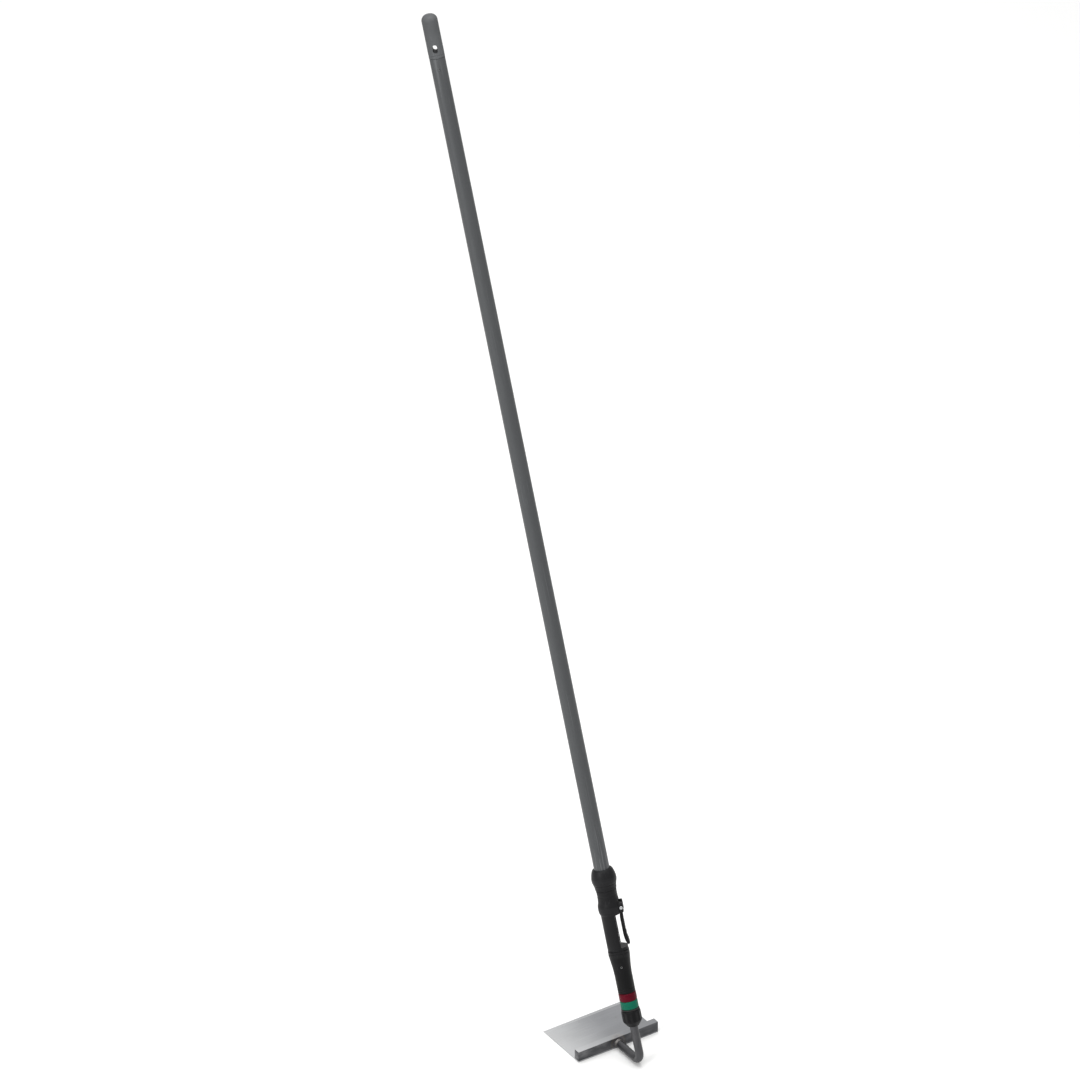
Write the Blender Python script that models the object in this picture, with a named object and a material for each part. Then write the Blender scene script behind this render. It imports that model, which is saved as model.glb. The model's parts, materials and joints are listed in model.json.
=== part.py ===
"""Long-handled draw scraper for floors.

World frame: the blade lies flat with its sole at z = 0 and the origin at the sole's centre.
The blade runs 150 mm along X. Its cutting edge faces +Y, and the neck meets its -Y edge.
The handle stands in the plane x = 0 and leans over the blade, towards +Y.

Heights called "up" are measured along the handle's axis, from where that axis meets the floor.
"""
import math

import bmesh
import bpy
from mathutils import Matrix, Vector

MM = 0.001
GAP = 0.3                      # clearance between touching pieces, mm
TOUCH = 0.35                   # a cutter's overshoot past a face, mm

# Blade and clamp bar
BLADE_LENGTH = 150.0
BLADE_DEPTH = 100.0
BLADE_THICK = 2.0
EDGE_GRIND = 7.0               # width of the ground cutting bevel
EDGE_THICK = 0.4
BAR_DEPTH = 11.0
BAR_HEIGHT = 17.0
SCREW_SPACING = 52.0
SCREW_RADIUS = 2.0
SCREW_HEAD_RADIUS = 4.0

# Handle axis
LEAN = math.radians(20.0)      # from the vertical, over the blade
FOOT_BEHIND = 68.0             # the axis meets the floor this far behind the blade
CLAMP_TURN = math.radians(-32.0)   # how the clamp is turned about the handle's axis

# Tube and end cap
TUBE_RADIUS = 12.5
TUBE_WALL = 1.5
TUBE_FOOT = 263.0
TUBE_TOP = 1690.0
CAP_TOP = 1761.0
CAP_RADIUS = 12.7
CAP_CROWN = 10.0               # rounding of the cap's top edge
CAP_SPIGOT_LENGTH = 35.0
HANG_UP = CAP_TOP - 55.0
HANG_WIDTH = 7.5
HANG_HEIGHT = 14.0
PLUG_HEIGHT = 19.0

# Clamp body, bush and collar
BODY_RADIUS = 16.4
WAIST_RADIUS = 16.0
RING_RADIUS = 18.6
MOUTH_UP = 333.3
COLLAR_SEAT_UP = 302.7
BUSH_FOOT = 283.0
FLAT_OFFSET = 5.6              # the flat that leaves the finger gap behind the lever
FLAT_FOOT = 206.0
FLAT_HEAD = 261.0
BODY_FOOT = 201.5
SPIGOT_FOOT = 150.0
SPIGOT_RADIUS = 9.7

# Cam lever
PIVOT_OUT = 17.9
PIVOT_UP = 271.0
PIVOT_RADIUS = 1.5
EAR_HALF_WIDTH = 11.6
LEVER_WIDTH = 12.0
CAM_RADIUS = 2.9
CAM_THROW = 0.45
SHOE_HALF = 4.9                # half the shoe's width

# Ferrule, rings and neck
FERRULE_RADIUS = 13.9
RIM_RADIUS = 17.0
RIM_UP = 201.2
RING_SEAT_UP = 129.5
RING_SEAT_RADIUS = 11.0
FERRULE_FOOT = 83.0
BORE_RADIUS = 10.0
RING_HEIGHT = 13.1
COLOUR_RING_RADIUS = 14.1
WASHER_HEIGHT = 2.4
NUT_RADIUS = 15.4
NUT_FOOT = 72.3
NUT_FLUTES = 12
NECK_RADIUS = 6.5
NECK_TOP = 140.0
NECK_AXIS_HEIGHT = 8.3
NECK_BEND = 12.5
KEY_UP = 88.0
KEY_RADIUS = 1.9
WELD_LEG = 1.5                 # how far the bead stands out from the neck
WELD_LENGTH = 3.4

# Roll pins across the spigots
ROLL_PIN_RADIUS = 1.8
FERRULE_PIN_UP = 175.0
FERRULE_PIN_HALF = 14.6
CAP_PIN_UP = TUBE_TOP - CAP_SPIGOT_LENGTH / 2

# Turns that lay a pin, built along Z, down along Y or along X
ACROSS = (math.pi / 2, 0, 0)
SIDEWAYS = (0, math.pi / 2, 0)

FOOT_Y = -BLADE_DEPTH / 2 - FOOT_BEHIND


def material(name, colour, roughness, metallic):
    mat = bpy.data.materials.new(name)
    mat.use_nodes = True
    shader = mat.node_tree.nodes["Principled BSDF"]
    shader.inputs["Base Color"].default_value = (*colour, 1.0)
    shader.inputs["Roughness"].default_value = roughness
    shader.inputs["Metallic"].default_value = metallic
    return mat


def clear_scene():
    for obj in list(bpy.data.objects):
        bpy.data.objects.remove(obj, do_unlink=True)


def empty(name, parent=None, place=(0, 0, 0), turn=(0, 0, 0)):
    marker = bpy.data.objects.new(name, None)
    bpy.context.collection.objects.link(marker)
    marker.parent = parent
    marker.location = Vector(place) * MM
    marker.rotation_euler = turn
    return marker


def solid(name, bm, mat, parent=None, place=(0, 0, 0), turn=(0, 0, 0)):
    """Turns a bmesh in millimetres into an object in metres."""
    bmesh.ops.recalc_face_normals(bm, faces=bm.faces)
    bmesh.ops.scale(bm, vec=(MM, MM, MM), verts=bm.verts)
    mesh = bpy.data.meshes.new(name)
    bm.to_mesh(mesh)
    bm.free()
    mesh.materials.append(mat)
    mesh.shade_smooth()
    mesh.set_sharp_from_angle(angle=math.radians(32))
    obj = bpy.data.objects.new(name, mesh)
    bpy.context.collection.objects.link(obj)
    obj.parent = parent
    obj.location = Vector(place) * MM
    obj.rotation_euler = turn
    return obj


def lathe(profile, steps, flute=None):
    """Spins (radius, height) points about Z: a closed loop, or one that starts and ends on the axis.

    flute, if given, takes a radius, a height and an angle, and returns what to take off that radius.
    """
    bm = bmesh.new()
    rings = []
    for radius, height in profile:
        if radius == 0:
            rings.append([bm.verts.new((0, 0, height))])
            continue
        ring = []
        for step in range(steps):
            angle = 2 * math.pi * step / steps
            reach = radius - (flute(radius, height, angle) if flute else 0)
            ring.append(bm.verts.new((reach * math.cos(angle), reach * math.sin(angle), height)))
        rings.append(ring)
    starts_on_axis = len(rings[0]) == 1
    following = rings[1:] if starts_on_axis else rings[1:] + rings[:1]
    for low, high in zip(rings, following):
        for step in range(steps):
            after = (step + 1) % steps
            corners = [low[step % len(low)], low[after % len(low)],
                       high[after % len(high)], high[step % len(high)]]
            bm.faces.new(list(dict.fromkeys(corners)))
    return bm


def prism(outline, half_width):
    """Extrudes an (x, z) outline along Y, from -half_width to +half_width."""
    bm = bmesh.new()
    near = [bm.verts.new((x, -half_width, z)) for x, z in outline]
    far = [bm.verts.new((x, half_width, z)) for x, z in outline]
    bm.faces.new(near)
    bm.faces.new(far[::-1])
    for step in range(len(outline)):
        after = (step + 1) % len(outline)
        bm.faces.new([near[after], near[step], far[step], far[after]])
    return bm


def block(low, high, bevel=0.0, segments=1):
    bm = bmesh.new()
    size = [b - a for a, b in zip(low, high)]
    middle = [(a + b) / 2 for a, b in zip(low, high)]
    place = Matrix.Translation(middle) @ Matrix.Diagonal((*size, 1.0))
    bmesh.ops.create_cube(bm, size=1.0, matrix=place)
    if bevel:
        bmesh.ops.bevel(bm, geom=bm.edges, offset=bevel, segments=segments, affect="EDGES", profile=0.5)
    return bm


def rod(radius, half_length, steps=16, chamfer=0.0):
    """A plain pin along Z, centred on its origin."""
    side = [(radius, -half_length), (radius, half_length)]
    if chamfer:
        side = [(radius - chamfer, -half_length), (radius, -half_length + chamfer),
                (radius, half_length - chamfer), (radius - chamfer, half_length)]
    return lathe([(0, -half_length)] + side + [(0, half_length)], steps)


def combine(target, bm, name, operation, parent=None, place=(0, 0, 0), turn=(0, 0, 0)):
    """Cuts or joins a hidden tool body into the target with a Boolean modifier."""
    tool = solid(name, bm, target.data.materials[0], parent, place, turn)
    tool.hide_render = True
    tool.display_type = "WIRE"
    modifier = target.modifiers.new(name, "BOOLEAN")
    modifier.operation = operation
    modifier.solver = "EXACT"
    modifier.object = tool


def cut(target, bm, name, parent=None, place=(0, 0, 0), turn=(0, 0, 0)):
    combine(target, bm, name, "DIFFERENCE", parent, place, turn)


def arc(centre, radius, start, stop, steps):
    points = []
    for step in range(steps + 1):
        angle = math.radians(start + (stop - start) * step / steps)
        points.append((centre[0] + radius * math.cos(angle), centre[1] + radius * math.sin(angle)))
    return points


# Handle

def make_tube(axis, clamp, mats):
    inner = TUBE_RADIUS - TUBE_WALL
    profile = [(inner, TUBE_FOOT), (TUBE_RADIUS, TUBE_FOOT), (TUBE_RADIUS, TUBE_TOP), (inner, TUBE_TOP)]
    tube = solid("pole_tube", lathe(profile, 32), mats["tube"], axis)
    cut(tube, rod(ROLL_PIN_RADIUS + GAP, 16), "tube_pin_hole", clamp, (0, 0, CAP_PIN_UP), ACROSS)
    foot = TUBE_FOOT + 0.5
    top = TUBE_FOOT + PLUG_HEIGHT
    plug = [(0, foot), (9.6, foot), (inner - GAP, foot + 1.1), (inner - GAP, top - 1), (9.6, top), (0, top)]
    solid("tube_plug", lathe(plug, 24), mats["black"], axis)


def make_cap(axis, clamp, mats):
    spigot = TUBE_RADIUS - TUBE_WALL - GAP
    foot = TUBE_TOP - CAP_SPIGOT_LENGTH
    crown = arc((CAP_RADIUS - CAP_CROWN, CAP_TOP - CAP_CROWN), CAP_CROWN, 0, 90, 6)
    profile = [(0, foot), (spigot - 1, foot), (spigot, foot + 1), (spigot, TUBE_TOP + GAP),
               (CAP_RADIUS, TUBE_TOP + GAP)]
    cap = solid("end_cap", lathe(profile + crown + [(0, CAP_TOP)], 32), mats["cap"], axis)
    half = HANG_WIDTH / 2
    straight = HANG_HEIGHT / 2 - half
    slot = arc((0, straight), half, 0, 180, 8) + arc((0, -straight), half, 180, 360, 8)
    cut(cap, prism(slot, 20), "hang_slot", clamp, (0, 0, HANG_UP))
    cut(cap, rod(ROLL_PIN_RADIUS + GAP, 16), "cap_pin_hole", clamp, (0, 0, CAP_PIN_UP), ACROSS)
    pin = rod(ROLL_PIN_RADIUS, TUBE_RADIUS - 0.2, 12, 0.3)
    solid("cap_pin", pin, mats["steel"], clamp, (0, 0, CAP_PIN_UP), ACROSS)


# Clamp

def make_body(axis, clamp, mats):
    profile = [(0, TUBE_FOOT - GAP), (TUBE_RADIUS + GAP, TUBE_FOOT - GAP), (TUBE_RADIUS + GAP, BUSH_FOOT),
               (14.2, BUSH_FOOT), (14.2, MOUTH_UP), (15.1, MOUTH_UP), (15.1, COLLAR_SEAT_UP),
               (WAIST_RADIUS + 0.5, COLLAR_SEAT_UP), (WAIST_RADIUS, 297), (WAIST_RADIUS, 289),
               (WAIST_RADIUS + 0.8, 282), (RING_RADIUS - 0.5, 277.5), (RING_RADIUS, 274), (RING_RADIUS, 268),
               (RING_RADIUS - 0.6, 264.5), (BODY_RADIUS, FLAT_HEAD), (BODY_RADIUS, BODY_FOOT + 1),
               (BODY_RADIUS - 1, BODY_FOOT), (SPIGOT_RADIUS, BODY_FOOT), (SPIGOT_RADIUS, SPIGOT_FOOT + 1.5),
               (SPIGOT_RADIUS - 1.5, SPIGOT_FOOT), (0, SPIGOT_FOOT)]
    body = solid("clamp_body", lathe(profile, 32), mats["black"], clamp)
    ears = block((14.0, -EAR_HALF_WIDTH, PIVOT_UP - 8), (21.2, EAR_HALF_WIDTH, PIVOT_UP + 8.5), 2.0)
    combine(body, ears, "lever_ears", "UNION", clamp)
    flat = block((FLAT_OFFSET, -30, FLAT_FOOT), (40, 30, FLAT_HEAD), 2.0)
    cut(body, flat, "finger_flat", clamp)
    side = LEVER_WIDTH / 2 + GAP
    cut(body, block((14.2, -side, PIVOT_UP - 16), (40, side, PIVOT_UP + 13)), "lever_slot", clamp)
    side = SHOE_HALF + GAP
    window = block((10, -side, PIVOT_UP - side - 0.1), (16, side, PIVOT_UP + side + 0.1))
    cut(body, window, "shoe_window", clamp)
    cut(body, rod(PIVOT_RADIUS + GAP, 20, 16), "pivot_hole", clamp, (PIVOT_OUT, 0, PIVOT_UP), ACROSS)
    cut(body, rod(ROLL_PIN_RADIUS + GAP, 20, 16), "spigot_pin_hole", clamp, (0, 0, FERRULE_PIN_UP), ACROSS)


def make_bush_and_collar(axis, mats):
    inner = TUBE_RADIUS + GAP
    bush = [(inner, BUSH_FOOT + GAP), (13.9, BUSH_FOOT + GAP), (13.9, MOUTH_UP), (inner, MOUTH_UP)]
    solid("guide_bush", lathe(bush, 32), mats["nylon"], axis)
    seat = COLLAR_SEAT_UP + GAP
    flare = [(15.4, seat), (16.9, seat), (17.3, seat + 5), (19.3, seat + 12), (20.0, seat + 16),
             (19.8, seat + 20), (18.4, seat + 27), (16.4, seat + 32.5), (14.8, seat + 34.2),
             (inner + 0.2, seat + 34.2), (inner + 0.2, MOUTH_UP + GAP), (15.4, MOUTH_UP + GAP)]
    solid("mouth_collar", lathe(flare, 32), mats["black"], axis)


def make_lever(clamp, mats):
    """The lever's outline is drawn about its pivot, with the arm hanging down."""
    pivot = empty("lever_pivot", clamp, (PIVOT_OUT, 0, PIVOT_UP))
    reach = CAM_THROW / math.sqrt(2)
    head = arc((-reach, -reach), CAM_RADIUS, -15, 195, 14)
    inner_side = [(-3.1, -6), (-3.2, -10.6), (-4.7, -13.6), (-5.1, -17), (-5.1, -46), (-4.3, -54),
                  (-2.6, -60)]
    tip = arc((0.4, -60.4), 2.6, 185, 345, 6)
    outer_side = [(2.0, -56), (0.5, -48), (0.3, -40), (0.3, -16), (1.0, -10), (2.1, -5)]
    outline = head + inner_side + tip + outer_side
    lever = solid("cam_lever", prism(outline, LEVER_WIDTH / 2), mats["black"], pivot)
    cut(lever, rod(PIVOT_RADIUS + GAP, 20, 16), "lever_bore", pivot, (0, 0, 0), ACROSS)
    span = EAR_HALF_WIDTH + GAP
    pin = [(0, -span - 1.6), (1.2, -span - 1.6), (PIVOT_RADIUS, -span - 1.3), (PIVOT_RADIUS, span),
           (2.7, span), (2.7, span + 0.7), (2.2, span + 1.1), (0, span + 1.1)]
    solid("lever_pin", lathe(pin, 16), mats["steel"], pivot, (0, 0, 0), ACROSS)
    clip = [(PIVOT_RADIUS + GAP, -span - 0.8), (3.0, -span - 0.8), (3.0, -span), (PIVOT_RADIUS + GAP, -span)]
    solid("pin_clip", lathe(clip, 16), mats["steel"], pivot, (0, 0, 0), ACROSS)
    shoe_back = PIVOT_OUT - CAM_RADIUS - reach - GAP
    shoe_low = (TUBE_RADIUS + GAP, -SHOE_HALF, PIVOT_UP - 5)
    shoe = block(shoe_low, (shoe_back, SHOE_HALF, PIVOT_UP + 5), 0.4)
    solid("clamp_shoe", shoe, mats["brass"], clamp)


# Ferrule and its rings

def make_ferrule(axis, clamp, mats):
    profile = [(0, SPIGOT_FOOT - 2), (BORE_RADIUS, SPIGOT_FOOT - 2), (BORE_RADIUS, RIM_UP),
               (RIM_RADIUS - 1, RIM_UP), (RIM_RADIUS, RIM_UP - 1.5), (RIM_RADIUS, 193), (16.2, 186),
               (15.1, 177), (14.3, 168), (FERRULE_RADIUS, 158), (FERRULE_RADIUS, RING_SEAT_UP + 0.8),
               (FERRULE_RADIUS - 0.8, RING_SEAT_UP), (RING_SEAT_RADIUS, RING_SEAT_UP),
               (RING_SEAT_RADIUS, FERRULE_FOOT), (NECK_RADIUS + GAP, FERRULE_FOOT),
               (NECK_RADIUS + GAP, NECK_TOP + 2), (0, NECK_TOP + 2)]
    ferrule = solid("ferrule", lathe(profile, 32), mats["black"], axis)
    hole = rod(ROLL_PIN_RADIUS + GAP, 20, 16)
    cut(ferrule, hole, "ferrule_pin_hole", clamp, (0, 0, FERRULE_PIN_UP), ACROSS)
    side = KEY_RADIUS + GAP
    cut(ferrule, block((-12, -side, FERRULE_FOOT - 8), (12, side, KEY_UP + side)), "key_slot", axis)
    pin = rod(ROLL_PIN_RADIUS, FERRULE_PIN_HALF, 12, 0.3)
    solid("ferrule_pin", pin, mats["steel"], clamp, (0, 0, FERRULE_PIN_UP), ACROSS)


def make_rings(axis, mats):
    """Red ring, green ring and rubber washer, stacked downwards on the ferrule's seat."""
    bore = RING_SEAT_RADIUS + GAP
    top = RING_SEAT_UP - GAP
    stack = (("red_ring", RING_HEIGHT, COLOUR_RING_RADIUS, "red"),
             ("green_ring", RING_HEIGHT, COLOUR_RING_RADIUS, "green"),
             ("seal_washer", WASHER_HEIGHT, COLOUR_RING_RADIUS + 0.4, "rubber"))
    for name, height, radius, mat in stack:
        foot = top - height
        profile = [(bore, foot), (radius - 0.6, foot), (radius, foot + 0.6), (radius, top - 0.6),
                   (radius - 0.6, top), (bore, top)]
        solid(name, lathe(profile, 32), mats[mat], axis)
        top = foot - GAP
    return top


def make_nut(axis, top, mats):
    """The fluted lock nut turns on the ferrule's foot and bears on the neck's flange."""
    bore = RING_SEAT_RADIUS + 0.5
    floor = FERRULE_FOOT - 4.0

    def flute(radius, height, angle):
        if radius < NUT_RADIUS:
            return 0.0
        return 0.35 * (1 - math.cos(NUT_FLUTES * angle))

    profile = [(bore, top), (NUT_RADIUS - 1.2, top), (NUT_RADIUS - 0.2, top - 1.2), (NUT_RADIUS, top - 2.4),
               (NUT_RADIUS, NUT_FOOT + 11), (NUT_RADIUS - 0.2, NUT_FOOT + 9.8), (12.4, NUT_FOOT + 5),
               (8.6, NUT_FOOT), (NECK_RADIUS + 0.5, NUT_FOOT), (NECK_RADIUS + 0.5, floor), (bore, floor)]
    solid("lock_nut", lathe(profile, 48, flute), mats["black"], axis)
    flange = [(NECK_RADIUS + GAP, floor + GAP), (10.6, floor + GAP), (10.6, FERRULE_FOOT - GAP),
              (NECK_RADIUS + GAP, FERRULE_FOOT - GAP)]
    solid("neck_flange", lathe(flange, 24), mats["steel"], axis)


# Neck, clamp bar and blade

def neck_route():
    """Centre line of the neck in the plane x = 0: (y, z, direction) from the tang to the bar."""
    up = Vector((math.sin(LEAN), math.cos(LEAN)))
    foot = Vector((FOOT_Y, 0.0))
    corner = foot + up * (NECK_AXIS_HEIGHT / math.cos(LEAN))
    turned = math.pi / 2 + LEAN
    setback = NECK_BEND * math.tan(turned / 2)
    start = corner + up * setback
    centre = start + Vector((up.y, -up.x)) * NECK_BEND
    route = []
    for height in (NECK_TOP, NECK_TOP - 1.0, 60.0):
        point = foot + up * height
        route.append((point.x, point.y, LEAN))
    bends = 9
    for step in range(bends + 1):
        swept = turned * step / bends
        angle = math.pi - LEAN + swept
        point = centre + Vector((math.cos(angle), math.sin(angle))) * NECK_BEND
        route.append((point.x, point.y, LEAN - swept))
    route.append((-BLADE_DEPTH / 2 - GAP, NECK_AXIS_HEIGHT, -math.pi / 2))
    return route


def make_neck(axis, mats):
    steps = 20
    bm = bmesh.new()
    rings = []
    for index, (y, z, tilt) in enumerate(neck_route()):
        radius = NECK_RADIUS - 1.0 if index == 0 else NECK_RADIUS
        frame = Matrix.Translation((0, y, z)) @ Matrix.Rotation(-tilt, 4, "X")
        ring = []
        for step in range(steps):
            angle = 2 * math.pi * step / steps
            ring.append(bm.verts.new(frame @ Vector((radius * math.cos(angle), radius * math.sin(angle), 0))))
        rings.append(ring)
    for upper, lower in zip(rings, rings[1:]):
        for step in range(steps):
            after = (step + 1) % steps
            bm.faces.new([upper[step], upper[after], lower[after], lower[step]])
    bm.faces.new(rings[0])
    bm.faces.new(rings[-1])
    neck = solid("neck_rod", bm, mats["rod"])
    cut(neck, rod(KEY_RADIUS + GAP, 12, 16), "key_hole", axis, (0, 0, KEY_UP), SIDEWAYS)
    solid("tang_key", rod(KEY_RADIUS, RING_SEAT_RADIUS - 0.4, 12, 0.3), mats["steel"], axis,
          (0, 0, KEY_UP), SIDEWAYS)
    bead = [(NECK_RADIUS + GAP, 0), (NECK_RADIUS + WELD_LEG, 0), (NECK_RADIUS + 0.9 * WELD_LEG, 1.2),
            (NECK_RADIUS + 0.5 * WELD_LEG, 2.8), (NECK_RADIUS + GAP, WELD_LENGTH)]
    face = -BLADE_DEPTH / 2 - GAP
    solid("neck_weld", lathe(bead, 24), mats["weld"], None, (0, face, NECK_AXIS_HEIGHT), ACROSS)


def make_blade(mats):
    back = -BLADE_DEPTH / 2
    edge = BLADE_DEPTH / 2
    # The outline's first number is -y: a quarter turn about Z lays the prism along X.
    outline = [(-edge + EDGE_GRIND, BLADE_THICK), (-edge, EDGE_THICK), (-edge, 0), (-back, 0),
               (-back, BLADE_THICK)]
    blade = solid("blade", prism(outline, BLADE_LENGTH / 2), mats["blade"], None, (0, 0, 0),
                  (0, 0, -math.pi / 2))
    bar_low = (-BLADE_LENGTH / 2, back, BLADE_THICK + GAP)
    bar_high = (BLADE_LENGTH / 2, back + BAR_DEPTH, BLADE_THICK + GAP + BAR_HEIGHT)
    bar = solid("clamp_bar", block(bar_low, bar_high, 0.9), mats["blade"])
    screw_y = back + BAR_DEPTH / 2
    for index in range(3):
        x = (index - 1) * SCREW_SPACING
        head_depth = SCREW_HEAD_RADIUS - SCREW_RADIUS
        sink = [(0, -TOUCH), (SCREW_HEAD_RADIUS + 2 * GAP + TOUCH, -TOUCH), (SCREW_RADIUS + GAP, head_depth),
                (SCREW_RADIUS + GAP, 12), (0, 12)]
        for piece in (blade, bar):
            cut(piece, lathe(sink, 16), "%s_hole_%d" % (piece.name, index + 1), None, (x, screw_y, 0))
        screw = [(0, 1.6), (1.5, 1.6), (1.7, GAP), (SCREW_HEAD_RADIUS - 0.2, GAP),
                 (SCREW_HEAD_RADIUS - 0.2, GAP + 0.2), (SCREW_RADIUS, head_depth + GAP), (SCREW_RADIUS, 10.5),
                 (SCREW_RADIUS - 0.6, 11.1), (0, 11.1)]
        solid("blade_screw_%d" % (index + 1), lathe(screw, 16), mats["steel"], None, (x, screw_y, 0))


def main():
    clear_scene()
    mats = {
        "tube": material("tube_grey", (0.13, 0.135, 0.14), 0.38, 0.6),
        "cap": material("cap_grey", (0.13, 0.135, 0.14), 0.5, 0.0),
        "black": material("moulded_black", (0.015, 0.015, 0.016), 0.45, 0.0),
        "red": material("ring_red", (0.16, 0.004, 0.012), 0.4, 0.0),
        "green": material("ring_green", (0.015, 0.2, 0.13), 0.4, 0.0),
        "nylon": material("pale_nylon", (0.7, 0.7, 0.68), 0.5, 0.0),
        "rubber": material("seal_rubber", (0.02, 0.02, 0.02), 0.7, 0.0),
        "brass": material("shoe_brass", (0.6, 0.42, 0.16), 0.35, 1.0),
        "steel": material("bright_steel", (0.55, 0.55, 0.56), 0.3, 1.0),
        "rod": material("neck_steel", (0.16, 0.16, 0.17), 0.4, 0.8),
        "weld": material("weld_steel", (0.2, 0.2, 0.2), 0.6, 0.8),
        "blade": material("blade_steel", (0.45, 0.45, 0.46), 0.35, 0.9),
    }
    axis = empty("handle_axis", None, (0, FOOT_Y, 0), (-LEAN, 0, 0))
    clamp = empty("clamp_axis", axis, (0, 0, 0), (0, 0, CLAMP_TURN))
    make_tube(axis, clamp, mats)
    make_cap(axis, clamp, mats)
    make_body(axis, clamp, mats)
    make_bush_and_collar(axis, mats)
    make_lever(clamp, mats)
    make_ferrule(axis, clamp, mats)
    nut_top = make_rings(axis, mats)
    make_nut(axis, nut_top, mats)
    make_neck(axis, mats)
    make_blade(mats)


main()
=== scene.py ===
"""Looks of the long-handled draw scraper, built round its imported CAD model.

Lengths are in millimetres inside the builders and become metres when a mesh is placed.
HANDLE is the handle's own frame: Z runs up its axis, from where that axis meets the floor, and X points
to the cam lever. Places along the handle are read from the CAD nodes with span().
"""

import json
import math
import random

import bmesh
import bpy
from mathutils import Matrix, Vector


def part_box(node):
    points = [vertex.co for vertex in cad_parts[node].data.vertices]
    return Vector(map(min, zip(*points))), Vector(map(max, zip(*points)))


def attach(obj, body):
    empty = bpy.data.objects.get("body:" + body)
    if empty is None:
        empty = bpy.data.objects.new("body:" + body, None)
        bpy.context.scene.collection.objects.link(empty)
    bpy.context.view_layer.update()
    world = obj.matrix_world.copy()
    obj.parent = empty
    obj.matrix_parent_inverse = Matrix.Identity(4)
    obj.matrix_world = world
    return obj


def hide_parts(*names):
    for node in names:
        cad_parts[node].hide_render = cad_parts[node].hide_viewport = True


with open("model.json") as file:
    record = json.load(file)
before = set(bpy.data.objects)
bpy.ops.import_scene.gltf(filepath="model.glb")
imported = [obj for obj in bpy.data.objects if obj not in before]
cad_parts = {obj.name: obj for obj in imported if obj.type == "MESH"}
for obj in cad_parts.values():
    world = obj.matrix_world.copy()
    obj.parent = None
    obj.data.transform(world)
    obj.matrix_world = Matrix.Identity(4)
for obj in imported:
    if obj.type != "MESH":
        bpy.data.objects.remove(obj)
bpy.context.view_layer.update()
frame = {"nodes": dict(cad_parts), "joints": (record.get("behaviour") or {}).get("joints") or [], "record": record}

MM = 0.001
FINE = 128                     # steps round a large turned piece
SMALL = 48                     # steps round a pin or screw
GAP = 0.3                      # clearance between touching pieces
TUBE_WALL = 1.5
CAP_CROWN = 10.0               # rounding of the cap's top edge
SLOT_HALF_WIDTH = 3.75         # the hang slot
SLOT_HALF_HEIGHT = 7.0
ROLL_PIN_RADIUS = 1.8
PIN_HOLE_RADIUS = 2.1
PIVOT_RADIUS = 1.5
EAR_HALF_WIDTH = 11.6          # the two ears that hold the lever's pin
FERRULE_PIN_UP = 175.0
EDGE_GRIND = 7.0               # width of the ground cutting bevel
NECK_BEND = 12.5               # bend radius of the neck's centre line
NUT_FLUTES = 12

# Camera: the viewing angle, and a lens so long that the view is nearly parallel
CAMERA_AZIMUTH = -33.69
CAMERA_ELEVATION = 34.81
CAMERA_DISTANCE = 46.875
CAMERA_LENS = 994.0
AIM_RIGHT = -0.0953            # aim point, in the picture plane through the blade's centre
AIM_UP = 0.7728


# The handle's frame

def handle_frame():
    joints = {joint["name"]: joint for joint in frame["joints"]}
    up = Vector(joints["nut_turn"]["axis"]).normalized()
    out = Vector(joints["shoe_travel"]["axis"]).normalized()
    across = up.cross(out)
    point = Vector(joints["nut_turn"]["pos_m"])
    foot = point - up * (point.z / up.z)
    turn = Matrix((out, across, up)).transposed().to_4x4()
    pivot = Vector(joints["lever_swing"]["pos_m"])
    return Matrix.Translation(foot) @ turn, Matrix.Translation(pivot) @ turn


HANDLE, PIVOT = handle_frame()
NECK_RADIUS = (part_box("neck_rod")[1].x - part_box("neck_rod")[0].x) / 2 / MM
WORLD = Matrix.Identity(4)
ALONG_ACROSS = Matrix.Rotation(math.pi / 2, 4, "X")


def raised(height):
    """The handle's frame, moved up its axis by that many millimetres."""
    return HANDLE @ Matrix.Translation((0, 0, height * MM))


def span(node):
    """Lowest and highest height and largest radius of a CAD node about the handle's axis, in mm."""
    into = HANDLE.inverted()
    points = [into @ vertex.co / MM for vertex in frame["nodes"][node].data.vertices]
    heights = [point.z for point in points]
    return min(heights), max(heights), max(math.hypot(point.x, point.y) for point in points)


# Mesh builders, in millimetres

def rounded(points, radius, steps=3):
    """Rounds the corners of a closed or axis-to-axis profile; points on the axis stay put."""
    result = []
    count = len(points)
    for index, point in enumerate(points):
        if point[0] == 0:
            result.append(point)
            continue
        here = Vector(point)
        before = Vector(points[index - 1])
        after = Vector(points[(index + 1) % count])
        reach = min(radius, (before - here).length * 0.45, (after - here).length * 0.45)
        start = here + (before - here).normalized() * reach
        stop = here + (after - here).normalized() * reach
        for step in range(steps + 1):
            t = step / steps
            curve = start * (1 - t) ** 2 + here * (2 * t * (1 - t)) + stop * t ** 2
            result.append((curve.x, curve.y))
    return result


def lathe(profile, steps=FINE, relief=None):
    """Spins (radius, height) points about Z. relief(radius, height, angle) is taken off the radius."""
    bm = bmesh.new()
    rings = []
    for radius, height in profile:
        if radius == 0:
            rings.append([bm.verts.new((0, 0, height))])
            continue
        ring = []
        for step in range(steps):
            angle = 2 * math.pi * step / steps
            reach = radius - (relief(radius, height, angle) if relief else 0)
            ring.append(bm.verts.new((reach * math.cos(angle), reach * math.sin(angle), height)))
        rings.append(ring)
    following = rings[1:] if profile[0][0] == 0 else rings[1:] + rings[:1]
    for low, high in zip(rings, following):
        for step in range(steps):
            after = (step + 1) % steps
            corners = [low[step % len(low)], low[after % len(low)],
                       high[after % len(high)], high[step % len(high)]]
            bm.faces.new(list(dict.fromkeys(corners)))
    return bm


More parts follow.
